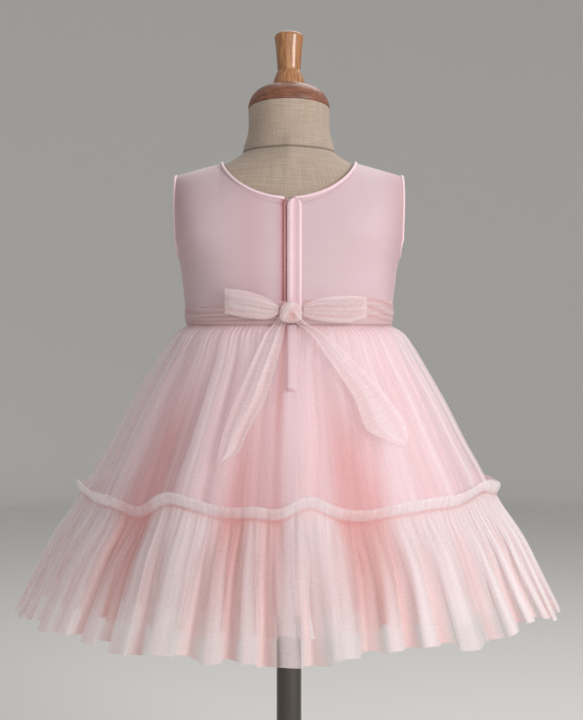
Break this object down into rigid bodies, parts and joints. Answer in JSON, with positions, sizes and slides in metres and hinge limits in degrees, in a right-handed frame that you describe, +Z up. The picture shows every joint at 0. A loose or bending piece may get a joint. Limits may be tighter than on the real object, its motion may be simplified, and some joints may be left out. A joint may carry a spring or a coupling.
{
  "type": "toddler party dress on dress form",
  "caption": "Sleeveless toddler party dress with a tiered, gathered tulle skirt and a waist sash tied at the back, worn on a limbless dress form with a pole and round base.",
  "frame": {"origin": "centre of the base's underside, on the pole's axis", "axes": "+Z up along the pole, -Y out of the back of the dress, where the bow is, +Y out of its front, +X to the right as the bow is looked at"},
  "size_m": [0.5383, 0.4992, 0.9015],
  "materials": {
    "bodice_cloth": "soft sheen, matte overlay",
    "tulle": "fine net, matte",
    "lining": "satin",
    "sash_tulle": "fine net, matte",
    "binding": "satin",
    "linen": "plain weave, matte",
    "dark_wood": "varnished",
    "light_wood": "varnished",
    "chrome_metal": "polished"
  },
  "bodies": {
    "root": {"bodice_back_right": "bodice_cloth", "bodice_back_left": "bodice_cloth", "bodice_front": "bodice_cloth", "neck_binding": "binding", "armhole_binding_right": "binding", "armhole_binding_left": "binding", "zip_lap": "binding", "skirt_placket": "binding", "upper_skirt_back_right": "tulle", "upper_skirt_front": "tulle", "upper_skirt_back_left": "tulle", "flounce_back_right": "tulle", "flounce_front_right": "tulle", "flounce_front_left": "tulle", "flounce_back_left": "tulle", "net_underskirt_back": "tulle", "net_underskirt_front": "tulle", "skirt_lining_back_right": "lining", "skirt_lining_front": "lining", "skirt_lining_back_left": "lining", "sash_band": "sash_tulle", "bow_knot": "sash_tulle", "bow_loop_left": "sash_tulle", "bow_loop_right": "sash_tulle", "bow_tail_left": "sash_tulle", "bow_tail_right": "sash_tulle", "base": "chrome_metal", "pole": "chrome_metal", "form_torso": "linen", "neck_cap": "dark_wood", "finial": "light_wood"}
  },
  "joints": []
}
